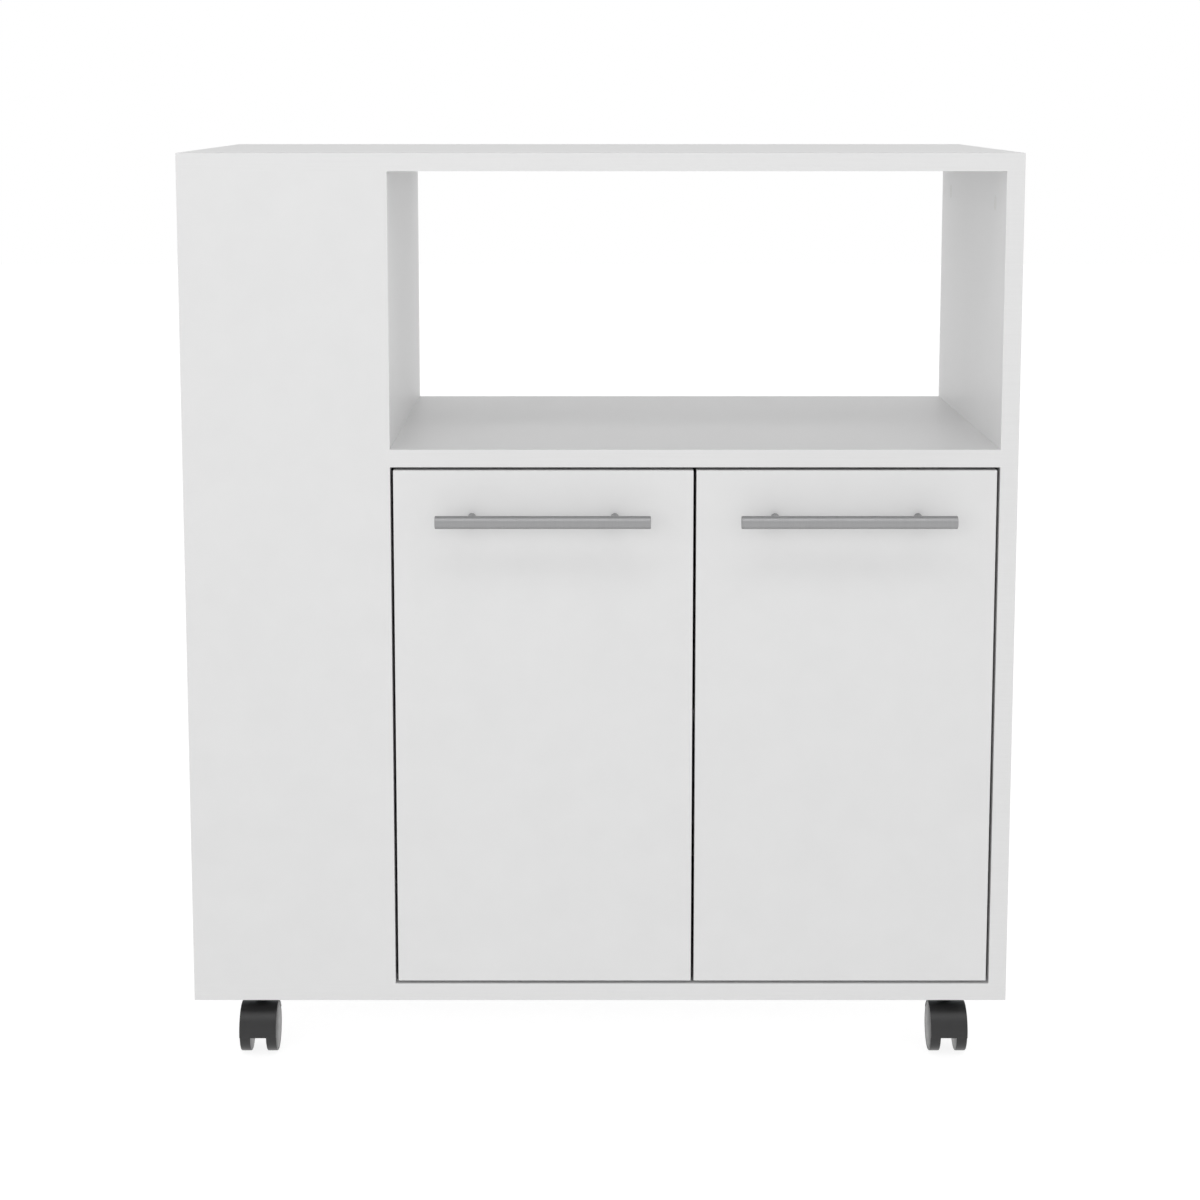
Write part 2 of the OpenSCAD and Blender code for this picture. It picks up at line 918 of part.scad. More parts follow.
// Cross-shaped mounting plate on the board: two wings and a raised rib
module mounting_plate() {
    difference() {
        union() {
            translate([panel_u, plate_v, 0])
                rotate([0, 90, 0])
                    linear_extrude(plate_base_t) {
                        square([2 * plate_wing - plate_base_l, plate_base_l], center = true);
                        for (s = [-1, 1])
                            translate([s * (plate_wing - plate_base_l / 2), 0])
                                circle(d = plate_base_l);
                    }
            span([panel_u, plate_v + plate_rib_front, -plate_rib_w / 2],
                [panel_u + plate_rib_t, plate_v + plate_rib_back, plate_rib_w / 2]);
        }
        for (s = [-1, 1])
            translate([panel_u - 1, plate_v, s * plate_hole_v])
                rotate([0, 90, 0])
                    cylinder(d = wood_screw_d + 2 * slide_fit, h = 5);
        for (v = arm_screw_vs)
            translate([panel_u - 1, plate_v + v, 0])
                rotate([0, 90, 0])
                    cylinder(d = arm_screw_d, h = plate_rib_t + 2);
    }
}

module hinge_plates() {
    color(steel) {
        at_left_hinges()
            mounting_plate();
        at_right_hinges()
            mounting_plate();
    }
}

// Cranked channel arm over the plate's rib, open towards the board. Its cheeks run on
// past the web to the eye of the arm's pin.
module hinge_arm() {
    rib_top = panel_u + plate_rib_t;
    back_v = plate_v + plate_rib_back + arm_back;
    bend_v = plate_v - arm_bend;
    web_end = arm_pin_at + [-arm_web_side, arm_web_behind];
    difference() {
        translate([0, 0, -arm_w / 2])
            linear_extrude(arm_w) {
                polygon([
                    [panel_u + arm_foot, back_v], [rib_top + arm_t, back_v],
                    [rib_top + arm_t, bend_v], arm_pin_at + 0.82 * arm_eye_r * [1, 0.7],
                    arm_pin_at - 0.82 * arm_eye_r * [1, 0.7], [panel_u + arm_foot, plate_v - arm_cheek_front]
                ]);
                translate(arm_pin_at)
                    circle(r = arm_eye_r);
            }
        translate([0, 0, -arm_w / 2 + arm_t])
            linear_extrude(arm_w - 2 * arm_t)
                polygon([
                    [panel_u - 5, back_v + 1], [rib_top, back_v + 1], [rib_top, bend_v - 0.4],
                    web_end, web_end + [30, 0], web_end + [30, -30], [panel_u - 5, door_t]
                ]);
        translate([arm_pin_at[0], arm_pin_at[1], 0])
            cylinder(d = link_pin_d + 2 * still_fit, h = arm_w + 2, center = true);
        for (v = arm_screw_vs)
            translate([rib_top - 1, plate_v + v, 0])
                rotate([0, 90, 0])
                    cylinder(d = arm_screw_d + 2 * slide_fit, h = 4);
    }
}

module hinge_arms() {
    color(steel) {
        at_left_hinges()
            hinge_arm();
        at_right_hinges()
            hinge_arm();
    }
}

// Pin through the arm's cheeks and the swing link's tube
module arm_pin() {
    translate([arm_pin_at[0], arm_pin_at[1], 0])
        cylinder(d = link_pin_d, h = arm_w + 2 * pin_proud, center = true);
}

module hinge_arm_pins() {
    color(zinc) {
        at_left_hinges()
            arm_pin();
        at_right_hinges()
            arm_pin();
    }
}

// Screws of one hinge on the cabinet: two hold the plate, two hold the arm
module hinge_screw_set() {
    for (s = [-1, 1])
        translate([panel_u + plate_base_t, plate_v, s * plate_hole_v])
            rotate([0, 0, -90])
                wood_screw(plate_base_t + wood_screw_l - 1.5, wood_screw_d, wood_head_d, wood_head_t);
    for (v = arm_screw_vs)
        translate([panel_u + plate_rib_t + arm_t, plate_v + v, 0])
            rotate([0, 0, -90])
                wood_screw(arm_t + plate_rib_t - 1, arm_screw_d - 2 * still_fit,
                    arm_screw_head_d, wood_head_t);
}

module hinge_screws() {
    color(zinc) {
        at_left_hinges()
            hinge_screw_set();
        at_right_hinges()
            hinge_screw_set();
    }
}

// ---- Casters -----------------------------------------------------------------

// Kingpin positions, in the order of the node names: 0 front left, 1 front right,
// 2 rear left, 3 rear right
function kingpin_x(k) = k % 2 == 0 ? left_x + caster_inset_left : right_x - caster_inset_right;
function kingpin_y(k) = k < 2 ? front_y + caster_setback : back_y - caster_setback;

module at_caster(k) {
    translate([kingpin_x(k), kingpin_y(k), caster_height])
        children();
}

module at_casters() {
    for (k = [0:3])
        at_caster(k)
            children();
}

module plate_corners() {
    for (c = CORNERS)
        translate([c[0] * plate_screw_pitch / 2, c[1] * plate_screw_pitch / 2, 0])
            children();
}

// Square plate with round corners, four screw holes and the kingpin's hole
module caster_plate() {
    difference() {
        translate([0, 0, -plate_t])
            linear_extrude(plate_t) {
                square([plate_side, plate_side - 2 * plate_corner_r], center = true);
                square([plate_side - 2 * plate_corner_r, plate_side], center = true);
                for (c = CORNERS)
                    translate((plate_side / 2 - plate_corner_r) * c)
                        circle(r = plate_corner_r);
            }
        plate_corners()
            translate([0, 0, -plate_t - 1])
                cylinder(d = caster_screw_d + 2 * slide_fit, h = plate_t + 2);
        translate([0, 0, -plate_t - 1])
            cylinder(d = kingpin_d + 2 * still_fit, h = plate_t + 2);
    }
}

module caster_plates() {
    color(zinc)
        at_casters()
            caster_plate();
}

// Flanged pin riveted in the plate, with a snap groove near its round tip
module kingpin() {
    translate([0, 0, -kingpin_tip])
        rotate_extrude()
            polygon([
                [0, 0], [kingpin_d / 2 - kingpin_chamfer, 0], [kingpin_d / 2, kingpin_chamfer],
                [kingpin_d / 2, snap_at], [kingpin_d / 2 - snap_depth, snap_at + snap_slope],
                [kingpin_d / 2 - snap_depth, snap_at + snap_w - snap_slope],
                [kingpin_d / 2, snap_at + snap_w],
                [kingpin_d / 2, kingpin_tip - plate_t - kingpin_flange_t],
                [kingpin_flange_d / 2, kingpin_tip - plate_t - kingpin_flange_t],
                [kingpin_flange_d / 2, kingpin_tip - plate_t],
                [kingpin_d / 2, kingpin_tip - plate_t], [kingpin_d / 2, kingpin_tip],
                [0, kingpin_tip]
            ]);
}

module caster_kingpins() {
    color(steel)
        at_casters()
            kingpin();
}

// Pan-head wood screw up through the plate
module caster_screw() {
    translate([0, 0, -plate_t])
        cylinder(d = caster_screw_d, h = plate_t + caster_screw_l - 1);
    translate([0, 0, -plate_t - caster_head_t])
        difference() {
            cylinder(d1 = caster_head_d - 1.6, d2 = caster_head_d, h = caster_head_t);
            for (turn = [0, 90])
                rotate([0, 0, turn])
                    cube([4, 0.9, 2.2], center = true);
        }
}

module caster_screws() {
    color(steel)
        at_casters()
            plate_corners()
                caster_screw();
}

// Section of the hood's shell: radius outwards, caster width upwards, outer edges rounded
module hood_section() {
    flat = hood_half_w - hood_edge_r;
    translate([hood_in_r, -hood_half_w])
        square([hood_wall - hood_edge_r, 2 * hood_half_w]);
    translate([hood_in_r, -flat])
        square([hood_wall, 2 * flat]);
    for (s = [-1, 1])
        translate([hood_out_r - hood_edge_r, s * flat])
            circle(r = hood_edge_r);
}

// Curved shell over both wheels, a web between them, the axle's boss and the
// tower that turns on the kingpin
module hood() {
    difference() {
        union() {
            translate([0, -caster_trail, -axle_drop])
                rotate([0, 90, 0])
                    rotate([0, 0, 90 + hood_rear_deg])
                        rotate_extrude(angle = 180 - hood_rear_deg + hood_lip_deg)
                            hood_section();
            translate([0, -caster_trail, -axle_drop])
                along_x(web_t)
                    intersection() {
                        circle(r = hood_in_r + hood_wall / 2);
                        polygon([
                            [0, 0],
                            web_span * [cos(hood_rear_deg), sin(hood_rear_deg)],
                            [web_span, web_span], [-web_span, web_span],
                            web_span * [-cos(web_front_deg), sin(web_front_deg)]
                        ]);
                    }
            translate([0, -caster_trail, -axle_drop])
                rotate([0, 90, 0])
                    cylinder(r = axle_boss_r, h = wheel_gap - 2 * end_gap, center = true);
            translate([0, 0, -tower_bottom])
                cylinder(r = tower_r, h = tower_bottom - tower_top);
        }
        translate([0, 0, -kingpin_tip - 1])
            cylinder(d = kingpin_d + 2 * run_fit, h = kingpin_tip + 1);
        translate([0, -caster_trail, -axle_drop])
            rotate([0, 90, 0])
                cylinder(d = axle_d + 2 * still_fit, h = wheel_gap + 2, center = true);
    }
}

module front_left_hood() {
    color(caster_black)
        at_caster(0)
            hood();
}

module front_right_hood() {
    color(caster_black)
        at_caster(1)
            hood();
}

module rear_left_hood() {
    color(caster_black)
        at_caster(2)
            hood();
}

module rear_right_hood() {
    color(caster_black)
        at_caster(3)
            hood();
}

module caster_axle() {
    color(steel)
        translate([0, -caster_trail, -axle_drop])
            rotate([0, 90, 0])
                cylinder(d = axle_d, h = wheel_gap + 2 * (wheel_w - axle_skin - end_gap), center = true);
}

module front_left_axle() {
    at_caster(0)
        caster_axle();
}

module front_right_axle() {
    at_caster(1)
        caster_axle();
}

module rear_left_axle() {
    at_caster(2)
        caster_axle();
}

module rear_right_axle() {
    at_caster(3)
        caster_axle();
}

// Section of a wheel: radius outwards, height 0 at its inner face
module wheel_section() {
    difference() {
        union() {
            square([wheel_d / 2 - wheel_edge_r, wheel_w]);
            translate([0, wheel_edge_r])
                square([wheel_d / 2, wheel_w - 2 * wheel_edge_r]);
            for (a = [wheel_edge_r, wheel_w - wheel_edge_r])
                translate([wheel_d / 2 - wheel_edge_r, a])
                    circle(r = wheel_edge_r);
        }
        translate([wheel_d / 2 - rim_w - ring_w, wheel_w - ring_depth])
            square([ring_w, 2 * ring_depth]);
    }
}

// Moulded wheel: flat faces, a ring groove in the outer one and a blind bore
module wheel() {
    difference() {
        rotate_extrude()
            wheel_section();
        translate([0, 0, -1])
            cylinder(d = axle_d + 2 * run_fit, h = wheel_w - axle_skin + 1);
    }
}

// Wheel a runs on the left of the web, wheel b on the right
module wheel_a(k) {
    color(caster_black)
        at_caster(k)
            translate([-wheel_gap / 2, -caster_trail, -axle_drop])
                rotate([0, -90, 0])
                    wheel();
}

module wheel_b(k) {
    color(caster_black)
        at_caster(k)
            translate([wheel_gap / 2, -caster_trail, -axle_drop])
                rotate([0, 90, 0])
                    wheel();
}

module front_left_wheel_a() {
    wheel_a(0);
}

module front_right_wheel_a() {
    wheel_a(1);
}

module rear_left_wheel_a() {
    wheel_a(2);
}

module rear_right_wheel_a() {
    wheel_a(3);
}

module front_left_wheel_b() {
    wheel_b(0);
}

module front_right_wheel_b() {
    wheel_b(1);
}

module rear_left_wheel_b() {
    wheel_b(2);
}

module rear_right_wheel_b() {
    wheel_b(3);
}

// ---- Assembly ------------------------------------------------------------------

top_panel();
bottom_panel();
right_side_panel();
divider_panel();
column_front_panel();
column_back_panel();
side_shelf_upper();
side_shelf_lower();
microwave_shelf();
cupboard_back();
cupboard_shelf();
shelf_pins();
cam_housings();
cam_bolts();
cam_covers();
dowels();
left_door();
right_door();
left_handle_bar();
right_handle_bar();
left_handle_posts();
right_handle_posts();
left_handle_screws();
right_handle_screws();
left_hinge_cups();
right_hinge_cups();
left_cup_pins();
right_cup_pins();
left_cup_screws();
right_cup_screws();
left_swing_links();
right_swing_links();
left_link_pins();
right_link_pins();
left_cup_links();
right_cup_links();
hinge_plates();
hinge_arms();
hinge_arm_pins();
hinge_screws();
caster_plates();
caster_kingpins();
caster_screws();
front_left_hood();
front_right_hood();
rear_left_hood();
rear_right_hood();
front_left_axle();
front_right_axle();
rear_left_axle();
rear_right_axle();
front_left_wheel_a();
front_right_wheel_a();
rear_left_wheel_a();
rear_right_wheel_a();
front_left_wheel_b();
front_right_wheel_b();
rear_left_wheel_b();
rear_right_wheel_b();
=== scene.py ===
"""Looks of a white microwave cart: laminated boards, steel bar handles, concealed hinges and
black twin-wheel casters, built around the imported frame. Metres, +Z up, the doors face -Y."""

import math

import bmesh
import bpy
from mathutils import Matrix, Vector


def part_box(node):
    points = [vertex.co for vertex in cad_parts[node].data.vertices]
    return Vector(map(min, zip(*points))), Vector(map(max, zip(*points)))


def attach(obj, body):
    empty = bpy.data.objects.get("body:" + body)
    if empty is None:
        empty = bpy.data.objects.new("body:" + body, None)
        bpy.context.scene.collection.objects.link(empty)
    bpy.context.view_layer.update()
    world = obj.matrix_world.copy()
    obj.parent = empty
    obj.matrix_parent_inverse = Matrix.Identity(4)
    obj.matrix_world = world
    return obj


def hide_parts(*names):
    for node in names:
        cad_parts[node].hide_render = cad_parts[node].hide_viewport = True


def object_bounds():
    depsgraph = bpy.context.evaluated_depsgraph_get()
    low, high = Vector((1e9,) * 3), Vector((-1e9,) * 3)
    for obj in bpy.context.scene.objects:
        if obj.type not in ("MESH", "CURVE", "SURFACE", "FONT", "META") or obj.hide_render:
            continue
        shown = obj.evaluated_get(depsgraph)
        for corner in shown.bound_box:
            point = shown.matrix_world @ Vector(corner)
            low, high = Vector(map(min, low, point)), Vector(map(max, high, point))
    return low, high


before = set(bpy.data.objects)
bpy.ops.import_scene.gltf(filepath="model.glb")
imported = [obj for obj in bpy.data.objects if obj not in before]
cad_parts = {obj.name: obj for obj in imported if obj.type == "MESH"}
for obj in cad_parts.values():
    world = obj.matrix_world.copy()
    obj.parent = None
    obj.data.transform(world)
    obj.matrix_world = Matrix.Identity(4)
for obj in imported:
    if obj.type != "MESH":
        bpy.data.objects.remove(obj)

bl_info = {
    "name": "Microwave Cart",
    "version": (1, 0, 0),
    "blender": (4, 5, 0),
    "location": "3D View > Sidebar > Cart",
    "description": "Finishes and details of a microwave cart on casters",
    "category": "Object",
}

MM = 0.001
LOAD_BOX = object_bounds()
SIDES = ("left", "right")
CORNERS = ("front_left", "front_right", "rear_left", "rear_right")

# The photograph's side in pixels, and the width of a full-frame sensor
PHOTO_PX = 1200
SENSOR_MM = 36.0

FLOOR_HALF_WIDTH = 12.0

# Steps round a turned piece, and across its rounded rim
TURNED_SEGMENTS = 96
ROUND_STEPS = 5

# Points closer than WELD are one point, and a point this near to a side of its board lies on it
WELD = 0.001 * MM
FLUSH = 0.02 * MM

# Angles in degrees
FLAT_WITHIN = 0.3  # neighbouring faces that turn by less are joined into one
SHARP_ABOVE = 35  # edges that turn by more are shaded sharp
BEVEL_ABOVE = 40  # edges that turn by more are bevelled

# Driver recess of a screw head, in shares of the head's radius
RECESS_LENGTH = 1.15
RECESS_WIDTH = 0.3
RECESS_DEPTH = 0.55

# Order of a board's materials: broad faces, banded edges, drilled holes
FACE, BAND, HOLE = range(3)


# ---- Colours and shader nodes ------------------------------------------------


def linear(code):
    """Linear RGBA of an sRGB hex colour."""
    channels = [int(code[i:i + 2], 16) / 255 for i in (1, 3, 5)]
    return [c / 12.92 if c <= 0.04045 else ((c + 0.055) / 1.055) ** 2.4 for c in channels] + [1.0]


def grey(level):
    """Linear RGBA of a grey, with 1 for white."""
    return (level, level, level, 1.0)


def per_mm(size):
    """Texture scale, in features per metre, for a feature of this size in millimetres."""
    return 1 / (size * MM)


def add(tree, kind, inputs=None, **settings):
    """Add a shader node. inputs gives each socket a value or the socket that feeds it."""
    made = tree.nodes.new(kind)
    for name, value in settings.items():
        setattr(made, name, value)
    for socket, value in (inputs or {}).items():
        if isinstance(value, bpy.types.NodeSocket):
            tree.links.new(value, made.inputs[socket])
        else:
            made.inputs[socket].default_value = value
    return made


def empty_tree(owner):
    """Emptied node tree of a material or a world."""
    owner.use_nodes = True
    owner.node_tree.nodes.clear()
    return owner.node_tree


def new_material(name, metallic=0.0, roughness=0.5):
    """Principled material and what its patterns are built from: (material, tree, shader, position)."""
    material = bpy.data.materials.new(name)
    material.use_nodes = True
    tree = material.node_tree
    shader = tree.nodes["Principled BSDF"]
    shader.inputs["Roughness"].default_value = roughness
    shader.inputs["Metallic"].default_value = metallic
    position = add(tree, "ShaderNodeTexCoord").outputs["Object"]
    return material, tree, shader, position


def two_tone(tree, factor, low, high):
    """Colour that runs from one hex colour to the other as factor goes from 0 to 1."""
    mix = add(tree, "ShaderNodeMix", {"Factor": factor}, data_type="RGBA")
    mix.inputs["A"].default_value = linear(low)
    mix.inputs["B"].default_value = linear(high)
    return mix.outputs["Result"]


def spread(tree, factor, low, high):
    """Number that runs between two values as a noise factor goes from about 0.3 to 0.7."""
    ranged = add(tree, "ShaderNodeMapRange", {
        "Value": factor, "From Min": 0.3, "From Max": 0.7, "To Min": low, "To Max": high})
    return ranged.outputs["Result"]


def noise(tree, position, size, detail=2.0, roughness=0.5):
    """Noise with features of this size in millimetres."""
    made = add(tree, "ShaderNodeTexNoise", {
        "Vector": position, "Scale": per_mm(size), "Detail": detail, "Roughness": roughness})
    return made.outputs["Fac"]


def stretched(tree, position, scale):
    """Position scaled along each axis, which draws a pattern out along the small ones."""
    mapping = add(tree, "ShaderNodeMapping", {"Vector": position, "Scale": scale})
    return mapping.outputs["Vector"]


def tint(tree, shader, pattern, low, high):
    """Give the shader a colour that runs between two hex colours over a noise pattern."""
    shade = two_tone(tree, spread(tree, pattern, 0.0, 1.0), low, high)
    tree.links.new(shade, shader.inputs["Base Color"])


def sheen(tree, shader, pattern, low, high):
    """Give the shader a roughness that runs between two values over a noise pattern."""
    shader.inputs["Roughness"].default_value = (low + high) / 2
    tree.links.new(spread(tree, pattern, low, high), shader.inputs["Roughness"])


def bump(tree, shader, height, depth):
    """Give the shader a relief of this depth in millimetres."""
    made = add(tree, "ShaderNodeBump", {"Height": height, "Distance": depth * MM})
    tree.links.new(made.outputs["Normal"], shader.inputs["Normal"])


def split_by_ray(tree, seen, lighting, output):
    """End the tree: eye, metal and glass see the one shader, and the other one lights things."""
    rays = add(tree, "ShaderNodeLightPath").outputs
    glossy = add(tree, "ShaderNodeMath", {0: rays["Is Camera Ray"], 1: rays["Is Glossy Ray"]},
                 operation="MAXIMUM")
    direct = add(tree, "ShaderNodeMath", {0: glossy.outputs[0], 1: rays["Is Transmission Ray"]},
                 operation="MAXIMUM")
    mix = add(tree, "ShaderNodeMixShader", {
        0: direct.outputs[0], 1: lighting.outputs[0], 2: seen.outputs[0]})
    add(tree, output, {"Surface": mix.outputs[0]})


# ---- Materials ---------------------------------------------------------------


def melamine(settings):
    """White melamine paper pressed on particle board: a hard, satin, very slightly pearled skin."""
    material, tree, shader, position = new_material("melamine_faced_board")
    shader.inputs["IOR"].default_value = 1.52
    mottle = noise(tree, position, 38.0, 3.0)
    tint(tree, shader, mottle, settings.board_shadow_hex, settings.board_hex)
    sheen(tree, shader, mottle, 0.42, 0.48)
    # The press plate's pearl is 0.4 mm; it is drawn at 1.2 mm so that it shows.
    bump(tree, shader, noise(tree, position, 1.2, 1.0), 0.012)
    return material


def edge_band(settings):
    """Extruded ABS band, ironed on and trimmed: smoother than the faces, with faint drawn lines."""
    material, tree, shader, position = new_material("abs_edge_band")
    shader.inputs["IOR"].default_value = 1.53
    lines = noise(tree, stretched(tree, position, (0.02, 1.0, 1.0)), 1.5)
    tint(tree, shader, lines, settings.board_shadow_hex, settings.board_hex)
    sheen(tree, shader, lines, 0.37, 0.43)
    bump(tree, shader, lines, 0.01)
    return material


def particle_board():
    """Cut chips of pine and their glue, seen only inside the drilled holes."""
    material, tree, shader, position = new_material("raw_particle_board", roughness=0.85)
    chips = add(tree, "ShaderNodeTexVoronoi", {
        "Vector": stretched(tree, position, (1.0, 1.0, 2.2)), "Scale": per_mm(2.6)})
    shade = two_tone(tree, chips.outputs["Color"], "#9C7A50", "#D2B389")
    tree.links.new(shade, shader.inputs["Base Color"])
    bump(tree, shader, chips.outputs["Distance"], 0.25)
    return material


def hardboard():
    """White lacquer rolled on thin hardboard: flatter than melamine, with the roller's fine stipple."""
    material, tree, shader, position = new_material("lacquered_hardboard")
    patches = noise(tree, position, 90.0)
    tint(tree, shader, patches, "#DFDFDE", "#E1E1E0")
    sheen(tree, shader, patches, 0.5, 0.58)
    bump(tree, shader, noise(tree, position, 2.2), 0.03)
    return material


def turned_steel(settings):
    """Stainless steel, turned and finely brushed round: rings that keep the light in long bands."""
    material, tree, shader, position = new_material("brushed_stainless_steel", metallic=1.0)
    # The brush lines are 0.1 mm apart; they are drawn at 0.5 mm so that they show.
    rings = noise(tree, stretched(tree, position, (1.0, 0.03, 0.03)), 0.5, 3.0)
    tint(tree, shader, rings, settings.steel_shadow_hex, settings.steel_hex)
    sheen(tree, shader, noise(tree, position, 14.0), 0.42, 0.46)
    bump(tree, shader, rings, 0.0005)
    return material


def nickel():
    """Nickel plate on pressed steel: bright, a little warm, with the sheet's faint drawn texture."""
    material, tree, shader, position = new_material("nickel_plated_steel", metallic=1.0)
    drawn = noise(tree, stretched(tree, position, (0.3, 0.3, 1.0)), 1.6, 3.0)
    tint(tree, shader, noise(tree, position, 7.0), "#C2C1BF", "#C7C6C4")
    sheen(tree, shader, drawn, 0.3, 0.36)
    bump(tree, shader, drawn, 0.0008)
    return material


def zinc():
    """Bright zinc plate on screws and pins: cool grey, slightly clouded."""
    material, tree, shader, position = new_material("zinc_plated_steel", metallic=1.0)
    clouds = noise(tree, position, 3.0, 3.0, 0.6)
    tint(tree, shader, clouds, "#A9ACAF", "#B4B7BA")
    sheen(tree, shader, clouds, 0.28, 0.38)
    bump(tree, shader, clouds, 0.001)
    return material


def nylon(name, settings, low, high, grain):
    """Black glass-filled nylon from a mould: a satin sheen, low to high in roughness, over a fine
    spark-eroded grain of this size in millimetres."""
    material, tree, shader, position = new_material(name)
    shader.inputs["IOR"].default_value = 1.53
    flow = noise(tree, position, 11.0, 3.0)
    tint(tree, shader, flow, settings.nylon_shadow_hex, settings.nylon_hex)
    sheen(tree, shader, flow, low, high)
    bump(tree, shader, noise(tree, position, grain, 1.0), 0.012)
    return material


def cap_plastic():
    """White polyethylene cap: softer white than the board, waxy."""
    material, tree, shader, position = new_material("moulded_white_polyethylene", roughness=0.5)
    clouds = noise(tree, position, 5.0)
    tint(tree, shader, clouds, "#DDDDDB", "#E3E3E1")
    shader.inputs["Subsurface Weight"].default_value = 0.05
    bump(tree, shader, clouds, 0.02)
    return material


def beech():
    """Steamed beech dowel: pink-brown with short dark flecks along the grain."""
    material, tree, shader, position = new_material("steamed_beech", roughness=0.6)
    grain = noise(tree, stretched(tree, position, (1.0, 1.0, 0.15)), 1.0, 3.0)
    tint(tree, shader, grain, "#B98C62", "#D9B48A")
    bump(tree, shader, grain, 0.05)
    return material


# ---- Meshes ------------------------------------------------------------------


def mesh_of(bm, name):
    """New mesh with the shape of a bmesh, which is freed."""
    mesh = bpy.data.meshes.new(name)
    bm.to_mesh(mesh)
    bm.free()
    return mesh


def link(mesh, name):
    """New object in the scene for a mesh in the frame's coordinates, a lamp or a camera."""
    piece = bpy.data.objects.new(name, mesh)
    bpy.context.scene.collection.objects.link(piece)
    return piece


def whole_faces(node):
    """The node's mesh as a bmesh, with its triangles joined into whole flat faces."""
    bm = bmesh.new()
    bm.from_mesh(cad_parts[node].data)
    bmesh.ops.remove_doubles(bm, verts=bm.verts, dist=WELD)
    bmesh.ops.dissolve_limit(bm, angle_limit=math.radians(FLAT_WITHIN), verts=bm.verts, edges=bm.edges)
    return bm


def crease(mesh):
    """Shade the mesh smooth, with its clear edges sharp."""
    mesh.shade_smooth()
    mesh.set_sharp_from_angle(angle=math.radians(SHARP_ABOVE))


def applied(piece):
    """Put the result of the piece's modifiers in its mesh."""
    graph = bpy.context.evaluated_depsgraph_get()
    mesh = bpy.data.meshes.new_from_object(piece.evaluated_get(graph))
    piece.modifiers.clear()
    piece.data = mesh


def turned(name, profile, place, along):
    """Turned piece from (distance, radius) points, closed at both ends, lying along axis 0 or 1."""
    bm = bmesh.new()
    rings = []
    for distance, radius in profile:
        ring = []
        for k in range(TURNED_SEGMENTS):
            angle = 2 * math.pi * k / TURNED_SEGMENTS
            point = Vector((distance, radius * math.cos(angle), radius * math.sin(angle)))
            if along == 1:
                point = Vector((-point.y, point.x, point.z))
            ring.append(bm.verts.new(place + point))
        rings.append(ring)
    for low, high in zip(rings, rings[1:]):
        for k in range(TURNED_SEGMENTS):
            after = (k + 1) % TURNED_SEGMENTS
            bm.faces.new((low[k], high[k], high[after], low[after]))
    bm.faces.new(rings[0])
    bm.faces.new(reversed(rings[-1]))
    bmesh.ops.recalc_face_normals(bm, faces=bm.faces)
    mesh = mesh_of(bm, name)
    crease(mesh)
    return link(mesh, name)


def rounded_end(start, inward, radius, round_by):
    """Profile points of a rounded rim, in the order of the axis: start is the end's plane, and
    inward is +1 at the low end and -1 at the high one."""
    points = []
    for k in range(ROUND_STEPS + 1):
        angle = math.pi / 2 * k / ROUND_STEPS
        points.append((start + inward * round_by * (1 - math.sin(angle)),
                       radius - round_by * (1 - math.cos(angle))))
    return points[::-1] if inward > 0 else points


def islands(bm):
    """The separate solids of a bmesh, each as a list of its faces, in the order of the mesh."""
    reached = set()
    found = []
    for first in bm.faces:
        if first in reached:
            continue
        reached.add(first)
        group = []
        waiting = [first]
        while waiting:
            face = waiting.pop()
            group.append(face)
            for edge in face.edges:
                for other in edge.link_faces:
                    if other not in reached:
                        reached.add(other)
                        waiting.append(other)
        found.append(group)
    return found


def cross_cutter(heads):
    """Crossed driver recesses, one for each (centre, normal, radius) of a flat screw head."""
    bm = bmesh.new()
    for centre, normal, radius in heads:
        turn = normal.to_track_quat("Z", "Y").to_matrix()
        size = (RECESS_LENGTH * radius, RECESS_WIDTH * radius, RECESS_DEPTH * radius)
        for crosswise in (False, True):
            arm = bmesh.ops.create_cube(bm, size=1.0)["verts"]
            for v in arm:
                x, y, z = (v.co[a] * size[a] for a in range(3))
                v.co = centre + turn @ (Vector((-y, x, z)) if crosswise else Vector((x, y, z)))
    return link(mesh_of(bm, "driver_recesses"), "driver_recesses")


def screw_heads(bm):
    """Centre, normal and radius of the flat outer face of each screw in the bmesh."""
    heads = []
    for group in islands(bm):
        flat = max(group, key=lambda face: face.calc_area())
        heads.append((flat.calc_center_median(), flat.normal.copy(),
                      math.sqrt(flat.calc_area() / math.pi)))
    return heads


def cut_recesses(piece, heads):
    """Cut a driver recess in each screw head of the piece."""
    cutter = cross_cutter(heads)
    cut = piece.modifiers.new("recess", "BOOLEAN")
    cut.operation = "DIFFERENCE"
    cut.solver = "EXACT"
    cut.use_self = True
    cut.object = cutter
    applied(piece)
    bpy.data.objects.remove(cutter)


def break_edges(piece, width):
    """Bevel the sharp edges of the piece."""
    edges = piece.modifiers.new("edges", "BEVEL")
    edges.width = width
    edges.segments = 2
    edges.limit_method = "ANGLE"
    edges.angle_limit = math.radians(BEVEL_ABOVE)
    edges.use_clamp_overlap = True
    applied(piece)
    crease(piece.data)


def stand_for(piece, node, body):
    """Put the piece on its body, in place of a CAD node."""
    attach(piece, body)
    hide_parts(node)


def finished(node, material, width, body="cabinet", recessed=False):
    """Copy of a node with its sharp edges broken, in place of it; recessed adds driver recesses."""
    bm = whole_faces(node)
    heads = screw_heads(bm) if recessed else []
    piece = link(mesh_of(bm, node + "_finish"), node + "_finish")
    if recessed:
        cut_recesses(piece, heads)
    break_edges(piece, width)
    piece.data.materials.clear()
    piece.data.materials.append(material)
    stand_for(piece, node, body)


def dress(node, material):
    """Give a carried-over node its material."""
    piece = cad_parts[node]
    if not piece.material_slots:
        piece.data.materials.append(None)
    for slot in piece.material_slots:
        slot.material = material


